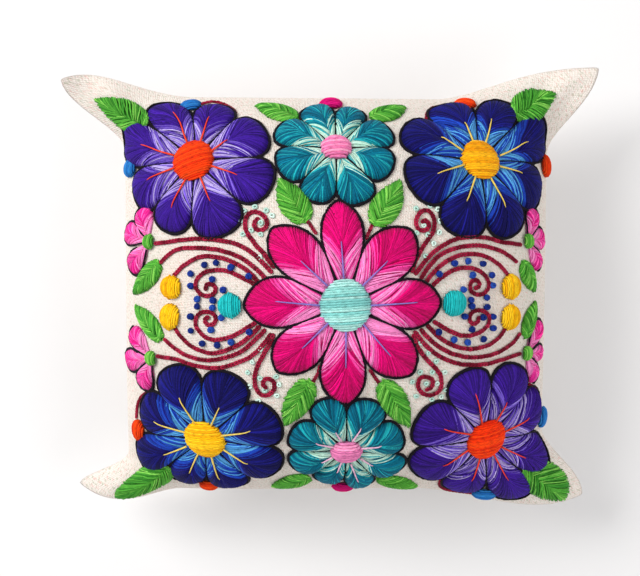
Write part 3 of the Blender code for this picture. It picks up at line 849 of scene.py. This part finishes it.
def leaf(work, base, tip, halves):
    long = np.hypot(*(tip - base))
    to_cloth = line_from(base, (tip - base) / long)

    def width(along, side):
        share = np.clip(along / long, 0, 1)
        return halves[int(side > 0)] * np.sin(math.pi * share**0.75) ** (0.5 + 0.45 * share)

    def height(along, aside):
        edge = np.where(aside > 0, width(along, 1), width(along, -1))
        share = np.minimum(np.abs(aside) / np.maximum(edge, 0.01), 1)
        ends = np.sin(math.pi * np.clip(along / long, 0.02, 0.98)) ** 0.4
        crease = 0.4 * np.exp(-((aside / 1.5) ** 2))
        return LEAF_EDGE + (LEAF_CROWN - LEAF_EDGE) * (1 - share**2) ** 0.6 * ends - crease

    stations = long * np.linspace(0.02, 0.97, 12)
    widths = width(stations, -1), width(stations, 1)
    # Painted shade: the padding is a darkened dark green, so the gaps between the yarns look
    # shaded.
    work.pad(to_cloth, stations, *widths, height, 0.35, DARK_GREEN * 0.8)
    t = np.linspace(0, 1, 7)
    for side in (1, -1):
        along = long * np.linspace(0.01, 1, 200)
        edge = width(along, side)
        length = run_along(along, edge)
        count = int(length[-1] / LEAF_PITCH)
        at = (np.arange(count) + 0.5) / count * length[-1]
        last, edge = np.interp(at, length, along), np.interp(at, length, edge)
        edge = edge + rng.normal(0, 0.35, count)
        first = np.clip(0.94 * last - 0.27 * long, 0.03 * long, None) + rng.normal(0, 1.3, count)
        last = last + rng.normal(0.3, 0.4, count)
        inner = first[:, None] * (1 - t) + last[:, None] * t
        off = rng.normal(-0.4, 0.5, (count, 1)) * (1 - t) + (edge[:, None] + 0.2) * t**0.85
        off = side * off + rng.normal(0, 0.15, (count, 1))
        lift = height(inner, off) + 0.2 - 0.3 * (1 - ease(t / 0.2))
        lift = np.maximum(lift + rng.normal(0, 0.08, (count, 1)), 0.3)
        radius = LEAF_RADIUS * (1 - 0.3 * (1 - t))
        work.lay(*to_cloth(inner, off), lift, radius, picked(GREENS, count, 0.13))


for name, *numbers in LEAVES:
    work = Work()
    leaf(work, *np.reshape(numbers, (3, 2)))
    work.finish("leaf_" + name, "green_wool", "leaf_" + name)


# The buds: small padded ovals in satin stitch. Ten more peep out from behind the flowers, in
# the notches towards the seam.
YELLOW = "yellow_wool", dyed((248, 194, 14), (236, 170, 8), (250, 204, 32))
AQUA = "aqua_wool", dyed((20, 182, 184), (10, 164, 168), (36, 192, 194))
BLUE = "blue_wool", dyed((48, 132, 204), (34, 112, 188))
ORANGE = "orange_wool", dyed((240, 74, 14), (224, 56, 8))
HOT_PINK = "pink_wool", dyed((226, 18, 130), (204, 6, 110))
BUD_BED, BUD_PITCH, BUD_RISE, RIM_BUD_RISE = 0.7, 1.7, 4.8, 3.6
BUDS = (
    # name, middle, half along the yarns, half across them, their turn, slot and dyes
    ("bud_left_up", -153.5, 13.5, 11, 11, 88, YELLOW),
    ("bud_left_down", -155, -14.5, 12.5, 10.5, 80, YELLOW),
    ("bud_right_up", 154, 14, 12, 11.7, 95, YELLOW),
    ("bud_right_down", 154, -15, 12, 11.7, 86, YELLOW),
    ("bud_inner_left", -95.5, -1, 10.8, 10.5, 92, AQUA),
    ("bud_inner_right", 92.5, 1, 11.7, 11, 88, AQUA),
    ("rim_bud_top_left", -143, 206, 9, 7, 12, BLUE),
    ("rim_bud_side_left", -211, 138, 9.5, 8.5, 84, BLUE),
    ("rim_bud_top", -9, 207, 11, 8, 3, HOT_PINK),
    ("rim_bud_top_right", 124.5, 207, 10, 7, -14, ORANGE),
    ("rim_bud_side_right", 215.5, 142, 11, 7.5, 96, ORANGE),
    ("rim_bud_low_left", -202, -143, 12, 8, 84, ORANGE),
    ("rim_bud_bottom_left", -129, -206, 9, 8, 0, ORANGE),
    ("rim_bud_bottom", 5, -205, 11, 8, -6, HOT_PINK),
    ("rim_bud_bottom_right", 149, -213, 11, 7, 4, BLUE),
    ("rim_bud_low_right", 219, -137, 11, 7, 88, BLUE),
)
for name, x, y, half_along, half_across, turn, (slot, dyes) in BUDS:
    work = Work()
    rise_by = RIM_BUD_RISE if "rim" in name else BUD_RISE
    satin(work, (x, y), half_along, half_across, turn, BUD_BED, rise_by, dyes, BUD_PITCH)
    work.finish(name, slot, name)


# The side flowers: three petals of hot and pale pink, open towards the seam from a green cup,
# with a black cord on the inner edges.
SIDE_START, SIDE_LOOK, SIDE_CROWN = 5, (0.34, 2.4, 0.5), 4.6
SIDE_PINKS = (
    (0.36, PALE_PINK, dyed(236, 104, 176)),
    (2, *dyed((230, 40, 148), (220, 20, 130), (236, 92, 172))),
)
SIDE_FLOWERS = (
    # name, cup, tips of the petals as turn and reach, half the spread of each in degrees
    ("left_up", (-180, 57.5), ((109, 37), (159, 40), (224, 40)), (28, 26, 27)),
    ("left_down", (-178, -58), ((141, 38), (197, 42), (247, 37)), (27, 24, 26)),
    ("right_up", (178, 59), ((69, 36), (10, 30), (-52, 34)), (25, 32, 24)),
    ("right_down", (178.5, -54), ((49, 38), (-12, 30), (-60, 38)), (25, 26, 22)),
)
for name, cup, tips, spreads in SIDE_FLOWERS:
    whole = "side_flower_" + name
    work, cords, green = Work(), Work(), Work()
    for number, (tip, half_spread) in enumerate(zip(tips, spreads)):
        between = tip[0] - half_spread, tip[0] + half_spread
        petal = Petal(cup, tip, between, SIDE_START, SIDE_LOOK, SIDE_CROWN)
        petal.stitch(work, SIDE_PINKS, 0.5)
        petal.outline(cords, 0.2, 0.55 if (number == 0) != (cup[0] > 0) else 0.9)
    work.finish(whole + "_petals", "pink_wool", whole)
    cords.finish(whole + "_outlines", "black_wool")
    satin(green, cup, 7.2, 6.0, 90, low=2.0, rise_by=3.4, dyes=(GREEN, LIGHT_GREEN), pitch=1.4)
    green.finish(whole + "_cup", "green_wool")


# The vines: rows of chain stitch in burgundy wool, four to each quarter, that leave the middle
# flower together. The last of each four curls up, and a lone scroll stands beside them.
BURGUNDIES = dyed((138, 16, 48), (112, 8, 36), (156, 28, 60))
LINK_PITCH = 3.3
VINES = (
    # quarter, its four arms from the outermost in and its scroll, all with x and y in turn
    ("left_up",
     (-59.5, 28.5, -67, 36.5, -77, 46, -90, 53, -107.5, 57, -125, 58.5, -146, 57.5, -161, 56,
      -173, 55.5),
     (-65, 23, -73, 31.5, -85.5, 41, -98.5, 46, -112, 49, -128, 50, -145, 49.5, -156.5, 44.5,
      -166, 37),
     (-70, 19, -77, 27, -85.5, 33.5, -98.5, 39.5, -111.5, 42, -123.5, 42, -134, 37.5, -143, 32,
      -150.5, 24.5),
     (-74, 18, -81, 22, -89.5, 26, -100.5, 30, -111.5, 30, -121, 26.5, -127, 21, -128, 14.5,
      -124, 9, -117.5, 6.5, -111, 8.5, -108.5, 13.5, -111.5, 17.5, -117, 17, -118, 13),
     (-58, 33, -63, 40, -67, 46, -71.5, 50.5, -75.5, 55.5, -79.5, 61, -82, 67, -82.5, 73,
      -81.5, 78.5, -78, 82, -73.5, 82.5, -68, 80, -64.5, 75, -64, 69.5, -67.5, 66, -72, 66,
      -75, 69.5, -74.5, 73.5, -71.5, 76)),
    ("left_down",
     (-60.5, -25, -67, -35, -77, -45.5, -90, -52.5, -104.5, -58, -119, -59, -134, -57.5,
      -150.5, -54.5, -171, -55),
     (-65, -21, -74, -31, -85.5, -41.5, -98.5, -47.5, -117, -52, -136, -50, -150, -44.5, -162, -37),
     (-70, -18, -77, -26.5, -87.5, -35, -98.5, -41, -112, -45, -125, -43, -136, -38.5,
      -144.5, -31, -150, -25),
     (-73, -15, -81, -20.5, -92, -27.5, -105, -32, -115.5, -32, -122, -28, -127.5, -22, -128, -15,
      -124.5, -9.5, -117.5, -7, -110.5, -9, -108.5, -14, -111.5, -18.5, -117, -19, -119.5, -14.5,
      -115.5, -12),
     (-58.5, -25, -60, -31, -62.5, -36.5, -66, -42.5, -68.5, -48.5, -71.5, -54, -73.5, -60,
      -74.5, -66, -74, -72, -72.5, -77.5, -69, -82, -64.5, -82.5, -60, -79.5, -57.5, -75,
      -58, -69, -62, -65.5, -66, -67, -67.5, -71.5, -64.5, -75)),
    ("right_up",
     (57.5, 27, 65, 37, 74, 46.5, 85, 54, 96.5, 58.5, 111, 60.5, 126.5, 60, 144.5, 56.5, 169, 55),
     (62, 23, 68.5, 32.5, 78, 42.5, 90.5, 49, 105, 52, 121, 52.5, 137, 49.5, 150, 45, 162, 38),
     (66.5, 20, 73.5, 28.5, 83.5, 37, 94, 42.5, 108.5, 45, 123.5, 43, 137, 37, 147, 29.5, 151, 25),
     (72.5, 17, 81.5, 24.5, 90.5, 30, 102, 32.5, 113, 31.5, 122, 27, 127, 21, 128, 14.5, 123, 9,
      115, 8, 109, 12, 108.5, 18, 112.5, 21.5, 117.5, 19.5, 117.5, 15, 113.5, 14),
     (54.5, 29, 58, 39.5, 63, 48, 67.5, 55.5, 72, 62, 75, 67.5, 75.5, 74, 74, 80.5, 70.5, 84,
      65.5, 84, 61, 79.5, 59, 73.5, 60, 68, 64, 65.5, 69, 67, 70.5, 71.5, 67.5, 75.5, 64.5, 73.5)),
    ("right_down",
     (57.5, -23, 65, -33, 77, -44, 92, -52, 110, -56.5, 128.5, -57.5, 146.5, -55.5, 170, -53),
     (63, -21, 70, -29.5, 81, -38.5, 95, -45.5, 112.5, -49.5, 130.5, -49.5, 146, -46, 160, -40,
      168, -33),
     (68, -17.5, 78.5, -28, 90, -35.5, 103.5, -40.5, 117, -41.5, 130, -39, 141, -33.5, 149, -25),
     (74, -14.5, 80.5, -18.5, 91, -24.5, 101.5, -28.5, 112.5, -28.5, 122.5, -25, 128.5, -19,
      129, -12.5, 123.5, -7.5, 116, -6, 109.5, -9, 108, -14.5, 112, -18.5, 117, -17, 117.5, -12.5),
     (56, -26, 58.5, -33, 62, -39.5, 66, -45, 71.5, -51.5, 76.5, -56.5, 80.5, -61.5, 83, -67.5,
      83.5, -74, 82, -79.5, 78, -82.5, 73, -83.5, 67.5, -81.5, 63.5, -77, 62, -71.5, 63, -66.5,
      67.5, -64.5, 73, -66.5, 76, -71.5, 74, -76.5, 70, -77.5)),
)


def smooth_route(places, step):
    """Evenly spaced places on one smooth curve through the given ones."""
    places = np.reshape(places, (-1, 2)).astype(float)
    ends = np.concatenate((2 * places[:1] - places[1:2], places, 2 * places[-1:] - places[-2:-1]))
    t = np.linspace(0, 1, 16, endpoint=False)[:, None]
    fine = []
    for before, near, far, after in zip(ends, ends[1:], ends[2:], ends[3:]):
        slope = (far - before) * t + (2 * before - 5 * near + 4 * far - after) * t**2
        fine.append(near + 0.5 * (slope + (3 * near - before - 3 * far + after) * t**3))
    fine = np.concatenate((*fine, places[-1:]))
    length = run_along(*fine.T)
    want = np.linspace(0, length[-1], max(2, round(length[-1] / step)) + 1)
    return np.stack([np.interp(want, length, part) for part in fine.T], -1)


def chain(work, places, half=1.25, radius=0.84, bed=0.8):
    """Chain stitch along a route: every link is a loop that rises from inside the last one."""
    route = smooth_route(places, LINK_PITCH)
    route = route + rng.normal(0, 0.15, route.shape)
    start, ahead = route[:-1], np.diff(route, axis=0)
    across = np.stack((-ahead[:, 1], ahead[:, 0]), -1) / np.hypot(*ahead.T)[:, None]
    turn = np.linspace(0, math.tau, 11)
    swing = (1 - np.cos(turn)) / 2
    out = 1.3 * swing - 0.1
    wide = half * np.sin(turn) * (0.5 + 0.5 * swing) * 1.25
    parts = zip(start.T, ahead.T, across.T)
    x, y = (a[:, None] + b[:, None] * out + c[:, None] * wide for a, b, c in parts)
    lift = bed + 0.5 * swing + rng.normal(0, 0.05, (len(start), 1))
    work.lay(x, y, lift, radius, picked(BURGUNDIES, len(start), 0.1))


def chains(name, routes, *nodes, **sizes):
    work = Work()
    for route in routes:
        chain(work, route, **sizes)
    work.finish(name, "burgundy_wool", *nodes)


for quarter, *arms, scroll in VINES:
    chains("vine_" + quarter, arms, "vine_" + quarter)
    chains("scroll_" + quarter, [scroll], "scroll_" + quarter)


# The stems and the arcs: short rows of finer chain stitch from the leaves to the middle
# flower, and hooks that run round the outer petals to the buds at the seam.
STEMS = (
    # x and y in turn
    (-33, 77, -28, 70, -24, 63),
    (23, 73, 20, 66, 17, 59),
    (-26, -69, -22, -61, -20, -53),
    (29, -70, 25, -64, 21, -57),
    (-135, 209, -126, 213, -115, 209, -105, 201, -100, 193),
    (80, 184, 82, 190, 85, 197, 91, 204, 99, 207, 112, 207),
    (-178, -92, -187, -96, -196, -104, -201, -113, -204, -123, -205, -130),
    (101, -196, 104, -207, 109, -213, 117, -217, 126, -217, 138, -216),
    (187, -89, 200, -97, 208, -108, 214, -122),
)
chains("stems", STEMS, half=0.95, radius=0.66, bed=0.65)


# The knots: French knots in blue wool between the vines. Each is two turns of yarn round the
# needle, drawn down to the cloth.
KNOTS = (
    # x and y in turn
    -119, 34.5, -108, 36.5, -94.5, 32.5, -79, 25, -132.5, 26.5, -132.5, 15.5, -111.5, 22,
    -101.5, 12.5, -126, 3.5, -111, 3, -126, -3, -111.5, -3.5, -133, -12.5, -103, -12,
    -132.5, -25.5, -113, -23.5, -121.5, -36.5, -107, -37, -94.5, -33.5, -78.5, -23.5, 78.5, 27,
    93, 36.5, 106, 38.5, 121.5, 36, 110.5, 26, 131, 25.5, 132, 16, 101.5, 13, 125.5, 5, 109, 3.5,
    110, -2, 126, -3.5, 103, -11, 122, -13, 133, -13, 110.5, -23, 133.5, -23.5, 78.5, -24,
    93, -31.5, 106.5, -35, 123, -33,
)
KNOT_DYES = dyed((22, 50, 138), (16, 38, 114), (34, 72, 162))


def knots(name, slot, spots, coil, radius, turns, rise_by, dyes):
    """A coil of yarn on each spot, narrowing as it climbs."""
    work = Work()
    spots = np.reshape(spots, (-1, 2))
    t = np.linspace(0, 1, int(9 * turns) + 1)
    turn = math.tau * turns * t + rng.uniform(0, math.tau, (len(spots), 1))
    size = coil * (1 - 0.45 * t * (turns > 1)) * (1 + rng.normal(0, 0.06, (len(spots), 1)))
    x, y = spots[:, :1] + size * np.cos(turn), spots[:, 1:] + size * np.sin(turn)
    picks = dyes[rng.integers(len(dyes), size=len(spots))]
    work.lay(x, y, radius * 0.8 + rise_by * t + 0 * x, radius, picks[:, None])
    work.finish(name, slot)


knots("knots", "blue_wool", KNOTS, 2.05, 1.3, turns=2, rise_by=1.9, dyes=KNOT_DYES)


# The dots round the scrolls: open rings of thin mint wool, one turn each, tacked down flat
# beside the chain stitch.
RINGS = (
    # x and y in turn
    -84, 83.5, -74.5, 87.5, -65, 84, -87, 74.5, -69.5, 72.5, -77.5, 66, -69.5, 62, -84.5, 62,
    -69.5, 41.5, -60, 79, -69, -39, -76, -51, -80, -61, -69.5, -66, -79, -74.5, -66, -77.5,
    -71.5, -88, -56, -63.5, -53.5, -71.5, -55.5, -82, 60, 86, 72.5, 89, 79, 86, 80.5, 75,
    79.5, 64.5, 74, 54.5, 66.5, 43, 59.5, 63.5, 69.5, 62, 66, 70.5, 62.5, -33.5, 70, -42.5,
    77.5, -51, 86, -61.5, 63.5, -60.5, 74.5, -61, 57, -69, 79.5, -72, 69.5, -72, 88, -79,
    84.5, -86, 61.5, -83.5, 75.5, -88,
)
RING_DYES = dyed((212, 238, 228), (184, 222, 210))
knots("rings", "aqua_wool", RINGS, 2.15, 0.82, turns=1.1, rise_by=0.35, dyes=RING_DYES)
